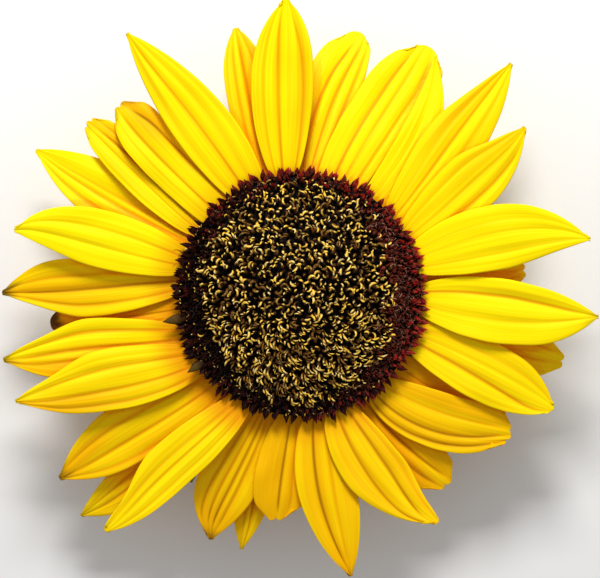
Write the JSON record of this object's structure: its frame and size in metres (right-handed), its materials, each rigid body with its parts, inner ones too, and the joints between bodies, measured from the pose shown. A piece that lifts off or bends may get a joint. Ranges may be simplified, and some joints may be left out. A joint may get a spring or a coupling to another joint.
{
  "type": "sunflower head",
  "caption": "Cut sunflower head lying face up: domed floret disc in layered ray petals, with green bracts and a short stalk stub; for still lifes and decoration.",
  "frame": {"origin": "on the surface that the head rests on, under the middle of the head's box", "axes": "+Z out of the face of the flower, +Y to the top and +X to the right of the face seen from the front"},
  "size_m": [0.1602, 0.1544, 0.0377],
  "materials": {
    "green_tissue": "hairy green bracts and ribbed stalk, matte",
    "florets": "maroon buds, black-brown anther tubes and gold stigmas, matte",
    "ray_petal": "satin yellow with fine lengthwise veins, golden towards the root"
  },
  "bodies": {
    "root": {"receptacle_and_bracts": "green_tissue", "floret_disc": "florets", "ray_petal_01": "ray_petal", "ray_petal_02": "ray_petal", "ray_petal_03": "ray_petal", "ray_petal_04": "ray_petal", "ray_petal_05": "ray_petal", "ray_petal_06": "ray_petal", "ray_petal_07": "ray_petal", "ray_petal_08": "ray_petal", "ray_petal_09": "ray_petal", "ray_petal_10": "ray_petal", "ray_petal_11": "ray_petal", "ray_petal_12": "ray_petal", "ray_petal_13": "ray_petal", "ray_petal_14": "ray_petal", "ray_petal_15": "ray_petal", "ray_petal_16": "ray_petal", "ray_petal_17": "ray_petal", "ray_petal_18": "ray_petal", "ray_petal_19": "ray_petal", "ray_petal_20": "ray_petal", "ray_petal_21": "ray_petal", "ray_petal_22": "ray_petal", "ray_petal_23": "ray_petal", "ray_petal_24": "ray_petal", "ray_petal_25": "ray_petal", "ray_petal_26": "ray_petal", "ray_petal_27": "ray_petal", "ray_petal_28": "ray_petal", "ray_petal_29": "ray_petal", "ray_petal_30": "ray_petal", "ray_petal_31": "ray_petal", "ray_petal_32": "ray_petal"}
  },
  "joints": []
}
